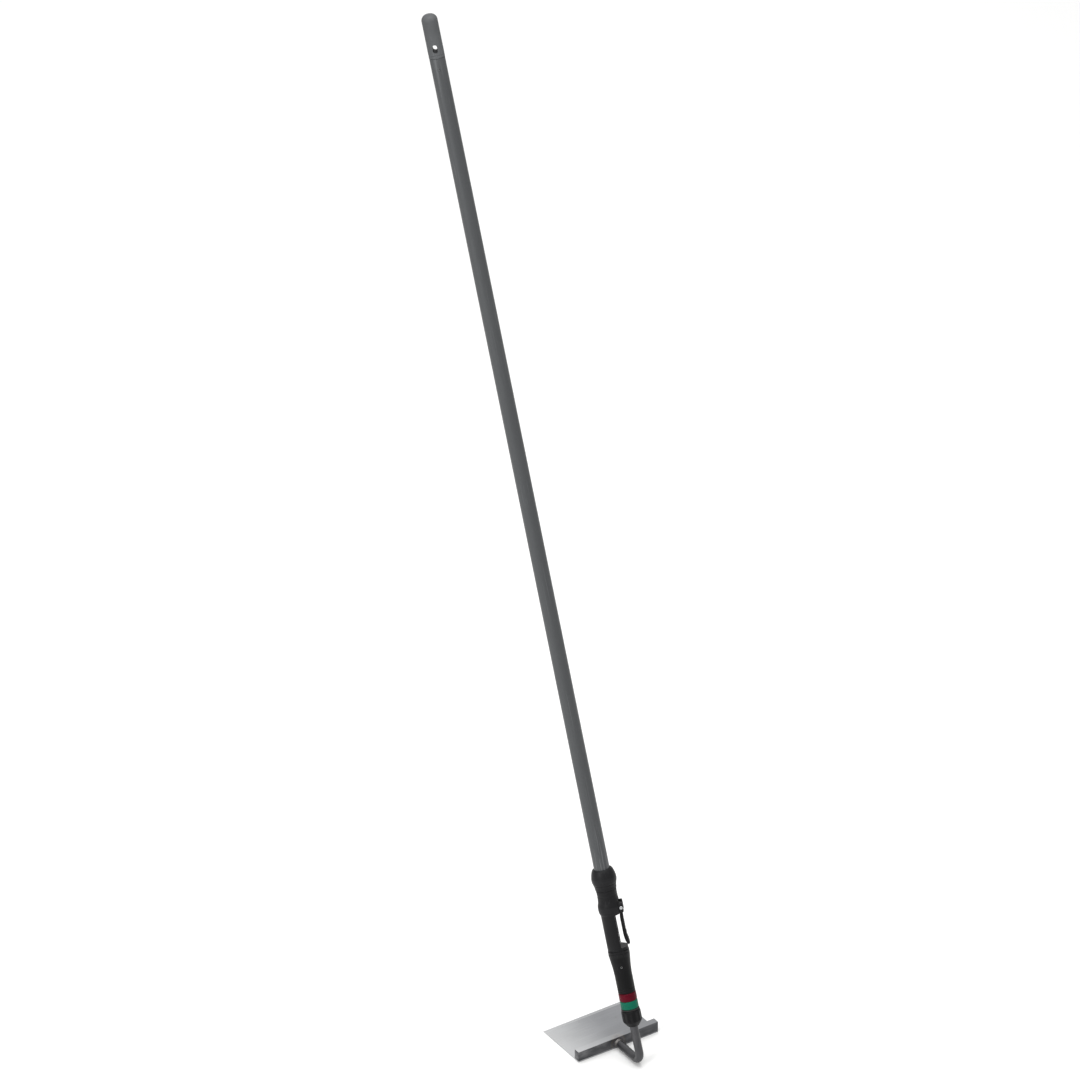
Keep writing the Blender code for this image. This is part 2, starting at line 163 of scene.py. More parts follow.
def prism(outline, half_width):
    """Extrudes an (x, z) outline along Y."""
    bm = bmesh.new()
    near = [bm.verts.new((x, -half_width, z)) for x, z in outline]
    far = [bm.verts.new((x, half_width, z)) for x, z in outline]
    bm.faces.new(near)
    bm.faces.new(far[::-1])
    for step in range(len(outline)):
        after = (step + 1) % len(outline)
        bm.faces.new([near[after], near[step], far[step], far[after]])
    return bm


def block(low, high, bevel=0.0, segments=4):
    bm = bmesh.new()
    size = [b - a for a, b in zip(low, high)]
    middle = [(a + b) / 2 for a, b in zip(low, high)]
    bmesh.ops.create_cube(bm, size=1.0, matrix=Matrix.Translation(middle) @ Matrix.Diagonal((*size, 1.0)))
    if bevel:
        bmesh.ops.bevel(bm, geom=bm.edges, offset=bevel, segments=segments, affect="EDGES", profile=0.5)
    return bm


def pin(radius, half_length, steps=SMALL, chamfer=0.3):
    profile = [(0, -half_length), (radius - chamfer, -half_length), (radius, -half_length + chamfer),
               (radius, half_length - chamfer), (radius - chamfer, half_length), (0, half_length)]
    return lathe(profile, steps)


def arc(centre, radius, start, stop, steps):
    points = []
    for step in range(steps + 1):
        angle = math.radians(start + (stop - start) * step / steps)
        points.append((centre[0] + radius * math.cos(angle), centre[1] + radius * math.sin(angle)))
    return points


def placed(name, bm, place):
    """Turns a bmesh in millimetres into an object in metres at a place in the row's frame."""
    bmesh.ops.recalc_face_normals(bm, faces=bm.faces)
    bmesh.ops.scale(bm, vec=(MM, MM, MM), verts=bm.verts)
    mesh = bpy.data.meshes.new(name)
    bm.to_mesh(mesh)
    bm.free()
    obj = bpy.data.objects.new(name, mesh)
    bpy.context.collection.objects.link(obj)
    obj.matrix_world = place
    return obj


def carve(obj, tools):
    """Applies Boolean tools, each (operation, bmesh in mm, place), to obj's mesh."""
    helpers = []
    for number, (operation, bm, place) in enumerate(tools):
        helper = placed("tool_%d" % number, bm, place)
        modifier = obj.modifiers.new("carve_%d" % number, "BOOLEAN")
        modifier.operation = operation
        modifier.solver = "EXACT"
        modifier.object = helper
        helpers.append(helper)
    bpy.context.view_layer.update()
    result = obj.evaluated_get(bpy.context.evaluated_depsgraph_get())
    mesh = bpy.data.meshes.new_from_object(result)
    obj.modifiers.clear()
    obj.data = mesh
    for helper in helpers:
        bpy.data.objects.remove(helper, do_unlink=True)


def soften(obj, width, segments=3, angle=38):
    """Rounds an object's sharp edges with a Bevel modifier."""
    modifier = obj.modifiers.new("edges", "BEVEL")
    modifier.width = width * MM
    modifier.segments = segments
    modifier.limit_method = "ANGLE"
    modifier.angle_limit = math.radians(angle)
    modifier.use_clamp_overlap = True
    modifier.harden_normals = True


def finish_piece(obj, surface, body, nodes, sharp=38):
    """Gives a piece its material, shading and body, and hides the CAD nodes that it stands for."""
    obj.data.materials.clear()
    obj.data.materials.append(surface)
    obj.data.shade_smooth()
    obj.data.set_sharp_from_angle(angle=math.radians(sharp))
    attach(obj, body)
    if nodes:
        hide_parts(*nodes)
    return obj


# Materials

class Surface:
    """A Principled material whose colour, roughness and bump are built up in layers.

    Patterns are in the object's own space in metres, or in a stored vector attribute.
    """

    def __init__(self, name, colour, roughness, metallic=0.0, attribute=None, **sockets):
        self.material = bpy.data.materials.new(name)
        self.material.use_nodes = True
        self.nodes = self.material.node_tree.nodes
        self.links = self.material.node_tree.links
        self.shader = self.nodes["Principled BSDF"]
        self.shader.inputs["Base Color"].default_value = (*colour, 1.0)
        self.shader.inputs["Roughness"].default_value = roughness
        self.shader.inputs["Metallic"].default_value = metallic
        for socket, value in sockets.items():
            self.shader.inputs[socket.replace("_", " ")].default_value = value
        if attribute:
            source = self.nodes.new("ShaderNodeAttribute")
            source.attribute_name = attribute
            self.coords = source.outputs["Vector"]
        else:
            self.coords = self.nodes.new("ShaderNodeTexCoord").outputs["Object"]

    def stretched(self, stretch, offset=(0, 0, 0)):
        mapping = self.nodes.new("ShaderNodeMapping")
        mapping.inputs["Scale"].default_value = stretch
        mapping.inputs["Location"].default_value = offset
        self.links.new(self.coords, mapping.inputs["Vector"])
        return mapping.outputs["Vector"]

    def noise(self, scale, stretch=(1, 1, 1), detail=3.0, roughness=0.55, distortion=0.0, offset=(0, 0, 0)):
        node = self.nodes.new("ShaderNodeTexNoise")
        node.inputs["Scale"].default_value = scale
        node.inputs["Detail"].default_value = detail
        node.inputs["Roughness"].default_value = roughness
        node.inputs["Distortion"].default_value = distortion
        self.links.new(self.stretched(stretch, offset), node.inputs["Vector"])
        return node.outputs["Fac"]

    def mapped(self, value, low, high, to_low=0.0, to_high=1.0):
        node = self.nodes.new("ShaderNodeMapRange")
        node.interpolation_type = "SMOOTHSTEP"
        limits = {"From Min": low, "From Max": high, "To Min": to_low, "To Max": to_high}
        for socket, number in limits.items():
            node.inputs[socket].default_value = number
        self.links.new(value, node.inputs["Value"])
        return node.outputs["Result"]

    def math(self, operation, first, second):
        node = self.nodes.new("ShaderNodeMath")
        node.operation = operation
        for socket, value in zip(node.inputs, (first, second)):
            if isinstance(value, (int, float)):
                socket.default_value = value
            else:
                self.links.new(value, socket)
        return node.outputs["Value"]

    def axis(self, name):
        node = self.nodes.new("ShaderNodeSeparateXYZ")
        self.links.new(self.coords, node.inputs["Vector"])
        return node.outputs[name]

    def facing(self, name):
        """How far the surface's normal points along an axis of the scene, either way."""
        node = self.nodes.new("ShaderNodeSeparateXYZ")
        self.links.new(self.nodes.new("ShaderNodeNewGeometry").outputs["Normal"], node.inputs["Vector"])
        return self.math("ABSOLUTE", node.outputs[name], 0.0)

    def radius(self):
        x = self.axis("X")
        y = self.axis("Y")
        squares = self.math("ADD", self.math("MULTIPLY", x, x), self.math("MULTIPLY", y, y))
        return self.math("SQRT", squares, 0.0)

    def distance(self, point):
        node = self.nodes.new("ShaderNodeVectorMath")
        node.operation = "DISTANCE"
        self.links.new(self.coords, node.inputs[0])
        node.inputs[1].default_value = point
        return node.outputs["Value"]

    def tint(self, factor, colour, blend="MIX"):
        """Mixes a colour over what is there, or multiplies it in, by factor."""
        node = self.nodes.new("ShaderNodeMix")
        node.data_type = "RGBA"
        node.blend_type = blend
        base = self.shader.inputs["Base Color"]
        if base.is_linked:
            self.links.new(base.links[0].from_socket, node.inputs["A"])
        else:
            node.inputs["A"].default_value = base.default_value
        node.inputs["B"].default_value = (*colour, 1.0)
        self.links.new(factor, node.inputs["Factor"])
        self.links.new(node.outputs["Result"], base)

    def blend(self, socket_name, factor, value):
        """Mixes a number over what the shader's socket has, by factor."""
        node = self.nodes.new("ShaderNodeMix")
        node.data_type = "FLOAT"
        socket = self.shader.inputs[socket_name]
        if socket.is_linked:
            self.links.new(socket.links[0].from_socket, node.inputs["A"])
        else:
            node.inputs["A"].default_value = socket.default_value
        node.inputs["B"].default_value = value
        self.links.new(factor, node.inputs["Factor"])
        self.links.new(node.outputs["Result"], socket)

    def bump(self, height, depth_mm, strength=1.0):
        node = self.nodes.new("ShaderNodeBump")
        node.inputs["Strength"].default_value = strength
        node.inputs["Distance"].default_value = depth_mm * MM
        self.links.new(height, node.inputs["Height"])
        normal = self.shader.inputs["Normal"]
        if normal.is_linked:
            self.links.new(normal.links[0].from_socket, node.inputs["Normal"])
        self.links.new(node.outputs["Normal"], normal)


def tube_paint(foot, top):
    """Satin grey coating: fine metallic fleck, faint peel, hairline scratches and scuffs by the clamp."""
    s = Surface("tube_paint", (0.072, 0.075, 0.078), 0.38, 0.3, Specular_IOR_Level=0.3)
    s.tint(s.mapped(s.noise(2600, detail=1.0), 0.5, 0.72, 0.0, 0.35), (0.15, 0.155, 0.16))
    s.tint(s.mapped(s.noise(9, (1, 1, 0.25)), 0.42, 0.66, 0.0, 0.30), (0.068, 0.071, 0.075))
    hair = s.noise(900, (1, 1, 0.012), 2.0, 0.4)
    s.tint(s.mapped(hair, 0.66, 0.72, 0.0, 0.35), (0.18, 0.185, 0.19))
    s.blend("Roughness", s.mapped(s.noise(60, (1, 1, 0.2)), 0.4, 0.7), 0.46)
    near_clamp = s.mapped(s.axis("Z"), (foot + 75) * MM, (foot + 190) * MM, 1.0, 0.0)
    rub = s.mapped(s.noise(700, (1, 1, 0.03), 3.0, 0.5, offset=(3, 1, 2)), 0.54, 0.66)
    s.tint(s.math("MULTIPLY", near_clamp, s.math("MULTIPLY", rub, 0.4)), (0.24, 0.245, 0.25))
    near_cap = s.mapped(s.axis("Z"), (top - 60) * MM, top * MM)
    s.blend("Roughness", s.math("MULTIPLY", near_cap, 0.5), 0.5)
    s.bump(s.noise(420, detail=2.0), 0.03, 0.5)
    s.bump(hair, 0.02, 0.35)
    return s.material


def moulded(name, colour, roughness, worn=None, worn_radius=None, grain=1500, worn_height=None):
    """Moulded plastic: spark-eroded grain, faint flow marks, dull handling patches, and rubbed high spots."""
    s = Surface(name, colour, roughness, Specular_IOR_Level=0.14)
    light = tuple(value * 1.7 + 0.004 for value in colour)
    s.tint(s.mapped(s.noise(14, (1, 1, 0.5)), 0.45, 0.7, 0.0, 0.35), light)
    s.tint(s.mapped(s.noise(grain * 1.4, detail=1.0), 0.62, 0.8, 0.0, 0.3), light)
    s.blend("Roughness", s.mapped(s.noise(35, detail=2.0), 0.4, 0.68), min(0.75, roughness + 0.14))
    scratch = s.mapped(s.noise(620, (1, 1, 0.06), 2.0, 0.4, 0.1, offset=(2, 5, 1)), 0.69, 0.73, 0.0, 0.4)
    s.tint(scratch, tuple(value * 2 + 0.02 for value in colour))
    if worn_radius:
        edge = s.mapped(s.radius(), (worn_radius - 0.45) * MM, worn_radius * MM)
        patch = s.mapped(s.noise(2400, (1, 1, 0.6), 4.0), 0.42, 0.70, 0.04, 0.42)
        factor = s.math("MULTIPLY", edge, patch)
        s.tint(factor, worn)
        s.blend("Roughness", factor, 0.3)
    if worn_height:
        low, high = worn_height
        edge = s.mapped(s.axis("Z"), low * MM, high * MM)
        patch = s.mapped(s.noise(2200, detail=4.0), 0.44, 0.72, 0.0, 0.3)
        s.tint(s.math("MULTIPLY", edge, patch), worn)
    s.bump(s.noise(grain, detail=3.0, roughness=0.6), 0.05, 0.45)
    s.bump(s.noise(90, (1, 1, 0.3), 2.0), 0.05, 0.25)
    return s.material


def gloss_ring(name, colour, dark):
    """Smooth coloured plastic with slight pigment swirl and fine light scratches."""
    s = Surface(name, colour, 0.33, Specular_IOR_Level=0.08, Coat_Weight=0.05, Coat_Roughness=0.15,
                Subsurface_Weight=0.04)
    s.shader.inputs["Subsurface Radius"].default_value = (0.002, 0.001, 0.001)
    s.tint(s.mapped(s.noise(45, (1, 1, 2.2), 3.0, 0.5, 0.8), 0.42, 0.68, 0.0, 0.5), dark)
    s.blend("Roughness", s.mapped(s.noise(500, (1, 1, 5), 2.0), 0.45, 0.7), 0.42)
    s.tint(s.mapped(s.noise(300, (1, 1, 6), 4.0, 0.4), 0.66, 0.72, 0.0, 0.3),
           tuple(min(1.0, value * 1.5 + 0.015) for value in colour))
    s.bump(s.noise(140, (1, 1, 1.5), 2.0), 0.03, 0.3)
    return s.material


def rubber():
    """Dull black rubber with a bloom and fine mould texture."""
    s = Surface("seal_rubber", (0.016, 0.016, 0.016), 0.72, Specular_IOR_Level=0.3)
    s.tint(s.mapped(s.noise(120, detail=4.0), 0.42, 0.7, 0.0, 0.5), (0.035, 0.034, 0.032))
    s.blend("Roughness", s.mapped(s.noise(260, detail=3.0), 0.45, 0.7), 0.55)
    s.bump(s.noise(1800, detail=2.0), 0.03, 0.5)
    return s.material


def nylon():
    """Natural nylon, a little stained, with fine moulding grain."""
    s = Surface("natural_nylon", (0.72, 0.71, 0.66), 0.45, Subsurface_Weight=0.15)
    s.shader.inputs["Subsurface Radius"].default_value = (0.003, 0.0025, 0.002)
    s.tint(s.mapped(s.noise(80, detail=3.0), 0.42, 0.7, 0.0, 0.5), (0.62, 0.6, 0.53))
    s.tint(s.mapped(s.noise(420, detail=3.0), 0.6, 0.72, 0.0, 0.4), (0.5, 0.48, 0.44))
    s.blend("Roughness", s.mapped(s.noise(300, detail=3.0), 0.45, 0.7), 0.6)
    s.bump(s.noise(800, detail=2.0), 0.02, 0.4)
    return s.material


def plated_steel():
    """Zinc-plated pins and screws: soft spangle, turned rings and a slightly warm bloom."""
    s = Surface("zinc_plate", (0.56, 0.57, 0.58), 0.27, 1.0)
    s.tint(s.mapped(s.noise(700, detail=2.0), 0.45, 0.7, 0.0, 0.45), (0.44, 0.45, 0.47))
    s.tint(s.mapped(s.noise(160, detail=3.0), 0.52, 0.72, 0.0, 0.35), (0.55, 0.50, 0.42))
    s.blend("Roughness", s.mapped(s.noise(1200, detail=2.0), 0.42, 0.68), 0.42)
    s.bump(s.noise(500, (1, 1, 7), 2.0), 0.02, 0.4)
    return s.material


def dark_bar():
    """Darkened drawn bar: lengthwise die lines, oxide patches and rubbed lighter streaks.

    It reads the straightened coordinates that the neck's sweep stores as path.
    """
    s = Surface("dark_bar", (0.085, 0.085, 0.089), 0.38, 0.8, attribute="path")
    s.tint(s.mapped(s.noise(38, (1, 1, 0.5), 4.0), 0.42, 0.66, 0.0, 0.55), (0.05, 0.051, 0.055))
    s.tint(s.mapped(s.noise(1100, (1, 1, 0.02), 3.0, 0.5), 0.55, 0.72, 0.0, 0.5), (0.15, 0.15, 0.155))
    s.tint(s.mapped(s.noise(260, detail=4.0, offset=(5, 0, 0)), 0.64, 0.74, 0.0, 0.5), (0.1, 0.07, 0.05))
    s.blend("Roughness", s.mapped(s.noise(75, detail=4.0), 0.42, 0.66), 0.52)
    s.bump(s.noise(1100, (1, 1, 0.02), 3.0), 0.03, 0.5)
    s.bump(s.noise(420, detail=4.0), 0.04, 0.3)
    return s.material


def ground_steel(name, heat_at=None, edge_y=None):
    """Flat-ground steel with lines along X and cross scratches from use.

    Its base colour is painted darker towards +X, a painted shade. The blade (edge_y given) has a brighter cutting
    bevel. The bar (heat_at given) has painted shade on its side faces, dark in cloudy patches, and is tinted round
    the weld.
    """
    s = Surface(name, (0.50, 0.505, 0.51), 0.33, 0.62)
    lines = s.noise(1500, (0.012, 1, 1), 3.0, 0.6)
    s.tint(s.mapped(lines, 0.42, 0.64, 0.0, 0.5), (0.40, 0.405, 0.41))
    s.tint(s.mapped(s.noise(16, (0.6, 1, 1), 3.0), 0.45, 0.68, 0.0, 0.35), (0.43, 0.43, 0.43))
    use = s.noise(700, (1, 0.018, 1), 3.0, 0.5, 0.15, offset=(0, 2, 0))
    s.tint(s.mapped(use, 0.66, 0.76, 0.0, 0.35), (0.66, 0.665, 0.67))
    s.tint(s.mapped(s.noise(90, detail=5.0, offset=(1, 4, 0)), 0.66, 0.76, 0.0, 0.35), (0.30, 0.27, 0.24))
    s.blend("Roughness", s.mapped(s.noise(48, (0.5, 1, 1), 4.0), 0.4, 0.68), 0.46)
    s.blend("Roughness", s.mapped(lines, 0.45, 0.62, 0.0, 0.5), 0.27)
    s.bump(lines, 0.03, 0.45)
    s.bump(use, 0.02, 0.3)
    # Painted shade: the colour is multiplied darker towards +X, standing in for light falling off across the
    # steel.
    s.tint(s.mapped(s.axis("X"), -0.10, 0.03), (0.44, 0.445, 0.46), "MULTIPLY")
    if heat_at:
        # Painted shade: faces whose normals lie level are painted near black in cloudy patches, standing in for
        # the shade on the bar's sides.
        upright_shade = s.mapped(s.facing("Z"), 0.8, 0.5)
        scale = s.mapped(s.noise(70, (0.4, 1, 1), 4.0, offset=(9, 1, 0)), 0.38, 0.68, 1.0, 0.72)
        s.tint(s.math("MULTIPLY", upright_shade, scale), (0.052, 0.053, 0.058))
        s.blend("Roughness", upright_shade, 0.5)
        away = s.distance([value * MM for value in heat_at])
        ripple = s.math("ADD", away, s.mapped(s.noise(120, detail=3.0), 0.3, 0.7, -0.0015, 0.0015))
        s.tint(s.mapped(ripple, 0.016, 0.011, 0.0, 0.14), (0.34, 0.27, 0.16))
        s.tint(s.mapped(ripple, 0.0125, 0.0095, 0.0, 0.35), (0.08, 0.09, 0.15))
        s.tint(s.mapped(ripple, 0.0105, 0.008, 0.0, 0.6), (0.09, 0.085, 0.08))
    if edge_y:
        bevel = s.mapped(s.axis("Y"), (edge_y - 7.3) * MM, (edge_y - 6.9) * MM)
        grind = s.noise(2600, (1, 0.02, 1), 2.0, 0.5, offset=(7, 0, 0))
        s.tint(s.math("MULTIPLY", bevel, s.mapped(grind, 0.3, 0.7, 0.25, 0.5)), (0.56, 0.565, 0.57))
        s.blend("Roughness", s.math("MULTIPLY", bevel, 0.6), 0.26)
        s.bump(s.math("MULTIPLY", bevel, grind), 0.008, 0.4)
    return s.material


def weld_metal():
    """Bead metal: bright crests, blued and sooty patches, fine spatter grain."""
    s = Surface("weld_metal", (0.125, 0.12, 0.117), 0.5, 0.8)
    s.tint(s.mapped(s.noise(420, detail=4.0), 0.45, 0.7, 0.0, 0.6), (0.22, 0.205, 0.19))
    s.tint(s.mapped(s.noise(240, detail=3.0, offset=(4, 2, 0)), 0.5, 0.72, 0.0, 0.5), (0.09, 0.08, 0.1))
    s.blend("Roughness", s.mapped(s.noise(500, detail=3.0), 0.42, 0.68), 0.34)
    s.bump(s.noise(900, detail=4.0), 0.06, 0.5)
    return s.material


def brass():
    """Machined brass with tool lines and dull spots."""
    s = Surface("machined_brass", (0.62, 0.42, 0.15), 0.3, 1.0)
    s.tint(s.mapped(s.noise(900, (1, 1, 0.05), 2.0), 0.45, 0.7, 0.0, 0.5), (0.5, 0.33, 0.12))
    s.blend("Roughness", s.mapped(s.noise(240, detail=3.0), 0.45, 0.7), 0.48)
    s.bump(s.noise(900, (1, 1, 0.05), 2.0), 0.02, 0.4)
    return s.material


# Handle

def build_pole():
    foot, top, radius = span("pole_tube")
    inner = radius - TUBE_WALL
    rings = [(inner, foot), (radius, foot), (radius, top), (inner, top)]
    profile = rounded(rings, 0.25, 2)
    # Extra rings keep the long faces short enough to bake and shade well.
    outer_end = next(i for i, p in enumerate(profile) if p[0] > radius - 0.01 and p[1] > top - 1)
    steps = 24
    middle = [(radius, foot + (top - foot) * k / steps) for k in range(1, steps)]
    profile = profile[:outer_end] + middle + profile[outer_end:]
    pole = placed("pole", lathe(profile), HANDLE)
    pin_height = (span("cap_pin")[0] + span("cap_pin")[1]) / 2
    carve(pole, [("DIFFERENCE", pin(PIN_HOLE_RADIUS, 16, chamfer=0.1), raised(pin_height) @ ALONG_ACROSS)])
    finish_piece(pole, tube_paint(foot, top), "handle", ["pole_tube"])
    return pin_height


def roll_pin(name, radius, half_length, place, body, node, surface):
    """A spring pin: a rolled strip with a slit, seen at its two ends."""
    bm = bmesh.new()
    steps = 40
    wall = 0.5
    slit = math.radians(14)
    loops = []
    for height, shave in ((-half_length, 0.2), (-half_length + 0.4, 0), (half_length - 0.4, 0),
                          (half_length, 0.2)):
        loop = []
        for reach in (radius - shave, radius - wall):
            order = range(steps + 1) if reach > radius - wall else range(steps, -1, -1)
            for step in order:
                angle = slit + (2 * math.pi - 2 * slit) * step / steps
                loop.append(bm.verts.new((reach * math.cos(angle), reach * math.sin(angle), height)))
        loops.append(loop)
    for low, high in zip(loops, loops[1:]):
        for step in range(len(low)):
            after = (step + 1) % len(low)
            bm.faces.new([low[step], low[after], high[after], high[step]])
    half = steps + 1
    for loop in (loops[0], loops[-1]):
        for step in range(steps):
            bm.faces.new([loop[step], loop[step + 1], loop[2 * half - 2 - step], loop[2 * half - 1 - step]])
    piece = placed(name, bm, place @ Matrix.Rotation(math.pi / 2, 4, "Z"))
    finish_piece(piece, surface, body, [node])


def build_cap(pin_height, steel):
    foot, top, radius = span("end_cap")
    seat = span("pole_tube")[1]
    spigot = span("pole_tube")[2] - TUBE_WALL - GAP
    crown = arc((radius - CAP_CROWN, top - CAP_CROWN), CAP_CROWN, 0, 90, 16)
    low = [(0, foot), (spigot - 1, foot), (spigot, foot + 1), (spigot, seat + GAP),
           (radius - 0.5, seat + GAP), (radius, seat + GAP + 0.5), (radius, seat + 4.0),
           (radius - 0.35, seat + 4.4), (radius - 0.35, seat + 5.2), (radius, seat + 5.6), (radius, top - 30)]
    cap = placed("handle_end_cap", lathe(low + crown + [(0, top)], 96), HANDLE)
    slot_centre = Vector(next(m for m in frame["record"]["mounts"] if m["name"] == "hang_slot")["pos_m"])
    slot_height = (HANDLE.inverted() @ slot_centre).z / MM
    half = SLOT_HALF_WIDTH
    straight = SLOT_HALF_HEIGHT - half
    outline = arc((0, straight), half, 0, 180, 20) + arc((0, -straight), half, 180, 360, 20)
    carve(cap, [("DIFFERENCE", prism(outline, 20), raised(slot_height)),
                ("DIFFERENCE", pin(PIN_HOLE_RADIUS, 16, chamfer=0.1), raised(pin_height) @ ALONG_ACROSS)])
    soften(cap, 0.8, 4, 50)
    surface = moulded("cap_plastic", (0.075, 0.078, 0.081), 0.5, (0.16, 0.165, 0.17),
                      worn_height=(top - 14, top - 1))
    finish_piece(cap, surface, "handle", ["end_cap"])
    place = raised(pin_height) @ ALONG_ACROSS
    roll_pin("cap_roll_pin", ROLL_PIN_RADIUS, 12.3, place, "handle", "cap_pin", steel)


# Clamp

def build_collar(worn):
    foot, top, radius = span("mouth_collar")
    bore = 15.4
    mouth = 13.0
    flare = [(bore, foot), (16.9, foot), (17.3, foot + 5)]
    groove = [(18.35, foot + 8.6), (18.0, foot + 9.4), (18.65, foot + 10.2)]
    lip = [(19.5, foot + 12.5), (radius, foot + 16), (19.85, foot + 20), (18.7, foot + 26.2),
           (17.2, foot + 31), (15.6, top - 0.6), (14.8, top), (mouth, top), (mouth, top - 3.4),
           (bore, top - 3.4)]
    collar = placed("mouth_collar_flare", lathe(rounded(flare + groove + lip, 1.2, 4)), HANDLE)
    surface = moulded("collar_plastic", (0.009, 0.009, 0.0098), 0.4, worn, worn_radius=radius)
    finish_piece(collar, surface, "head", ["mouth_collar"], 60)


def build_clamp_body(worn):
    foot, top, _ = span("clamp_body")
    tube_foot, _, tube_radius = span("pole_tube")
    collar_foot = span("mouth_collar")[0]
    bush_foot = span("guide_bush")[0] - GAP
    rim = span("ferrule")[1]
    bore = tube_radius + GAP
    ring = span("lever_pin")
    pivot_height = (ring[0] + ring[1]) / 2
    seat = collar_foot - GAP
    low = rim + GAP
    flat_head = pivot_height - 10.0
    outer = [(15.1, top), (15.1, seat), (16.5, seat), (16.0, seat - 4.5), (16.0, seat - 8),
             (15.7, seat - 8.6), (15.7, seat - 9.4), (16.0, seat - 10), (16.0, seat - 13.5),
             (16.8, seat - 20.5), (18.1, pivot_height + 6.5), (18.6, pivot_height + 3),
             (18.6, pivot_height - 3), (18.0, pivot_height - 6.5), (16.4, flat_head), (16.4, low + 3.2),
             (16.1, low + 2.8), (16.1, low + 2.2), (16.4, low + 1.8), (16.4, low), (9.7, low), (9.7, foot)]
    inner = [(0, foot), (0, tube_foot - GAP), (bore, tube_foot - GAP), (bore, bush_foot), (14.2, bush_foot),
             (14.2, top)]
    profile = rounded(inner[1:] + outer + inner[:1], 0.5, 3)
    body = placed("clamp_housing", lathe(profile, 96), HANDLE)
    ear = EAR_HALF_WIDTH
    ears = block((14.0, -ear, pivot_height - 8), (21.2, ear, pivot_height + 8.5), 2.0, 4)
    flat = block((5.6, -30, low + 4.5), (40, 30, flat_head), 2.0, 4)
    slot = block((14.2, -6.3, pivot_height - 16), (40, 6.3, pivot_height + 13))
    window = block((10, -5.2, pivot_height - 5.3), (16, 5.2, pivot_height + 5.3))
    tools = [("UNION", ears, HANDLE), ("DIFFERENCE", flat, HANDLE), ("DIFFERENCE", slot, HANDLE),
             ("DIFFERENCE", window, HANDLE),
             ("DIFFERENCE", pin(PIVOT_RADIUS + GAP, 20, 32, 0.1), PIVOT @ ALONG_ACROSS),
             ("DIFFERENCE", pin(PIN_HOLE_RADIUS, 20, 32, 0.1), raised(FERRULE_PIN_UP) @ ALONG_ACROSS)]
    # Three shallow cored pockets lighten the thick flat behind the lever.
    pitch = 15.0
    for index in range(3):
        middle = low + 17 + pitch * index
        pocket = block((2.6, -9.5, middle - 5.5), (8, 9.5, middle + 5.5), 1.2, 3)
        tools.append(("DIFFERENCE", pocket, HANDLE))
    carve(body, tools)
    soften(body, 0.35, 2, 40)
    surface = moulded("clamp_plastic", (0.009, 0.009, 0.0098), 0.42, worn, worn_radius=18.7)
    finish_piece(body, surface, "head", ["clamp_body"], 40)


def build_lever(worn, steel):
    """The lever hangs from its pivot; its outer face has small ribs near the tip for the thumb."""
    width = 6.0
    reach = 0.45 / math.sqrt(2)
    head = arc((-reach, -reach), 2.9, -15, 195, 36)
    inner_side = [(-3.1, -6), (-3.2, -10.6), (-4.7, -13.6), (-5.1, -17), (-5.1, -46), (-4.3, -54),
                  (-2.6, -60)]
    tip = arc((0.4, -60.4), 2.6, 185, 345, 16)
    ribs = []
    rib_pitch = 2.6
    for index in range(6):
        z = -55.5 + rib_pitch * index
        x = 1.9 - 0.22 * rib_pitch * index if index < 4 else 0.45
        ribs += [(x - 0.1, z), (x + 0.25, z + 0.5), (x + 0.35, z + 0.95), (x + 0.25, z + 1.4),
                 (x - 0.25, z + 1.9)]
    outer_side = [(0.3, -38), (0.3, -16), (1.0, -10), (2.1, -5)]
    lever = placed("flip_lever", prism(head + inner_side + tip + ribs + outer_side, width), PIVOT)
    carve(lever, [("DIFFERENCE", pin(PIVOT_RADIUS + GAP, 20, 32, 0.1), PIVOT @ ALONG_ACROSS)])
    soften(lever, 0.55, 3, 30)
    surface = moulded("lever_plastic", (0.006, 0.006, 0.0065), 0.38, worn, worn_height=(-48, -62))
    finish_piece(lever, surface, "lever", ["cam_lever"], 35)
    ear = EAR_HALF_WIDTH + GAP
    shaft = [(0, -ear - 1.6), (1.0, -ear - 1.6), (PIVOT_RADIUS, -ear - 1.1), (PIVOT_RADIUS, ear), (2.7, ear),
             (2.7, ear + 0.5), (2.3, ear + 0.95), (1.2, ear + 1.1), (0, ear + 1.1)]
    pivot_pin = placed("lever_pivot_pin", lathe(rounded(shaft, 0.2, 3), SMALL), PIVOT @ ALONG_ACROSS)
    finish_piece(pivot_pin, steel, "head", ["lever_pin"])
    build_clip(steel, ear)


def build_clip(steel, ear):
    """A spring clip: a flat ring open on one side."""
    opening = math.radians(38)
    steps = 30
    inner = []
    outer = []
    for step in range(steps + 1):
        angle = opening + (2 * math.pi - 2 * opening) * step / steps
        inner.append((1.8 * math.cos(angle), 1.8 * math.sin(angle)))
        outer.append((3.0 * math.cos(angle), 3.0 * math.sin(angle)))
    bm = prism(outer + inner[::-1], 0.4)
    clip = placed("pin_spring_clip", bm, PIVOT @ Matrix.Translation((0, (ear + 0.4) * MM, 0)))
    soften(clip, 0.12, 2, 40)
    finish_piece(clip, steel, "head", ["pin_clip"])


# Ferrule and what is on it

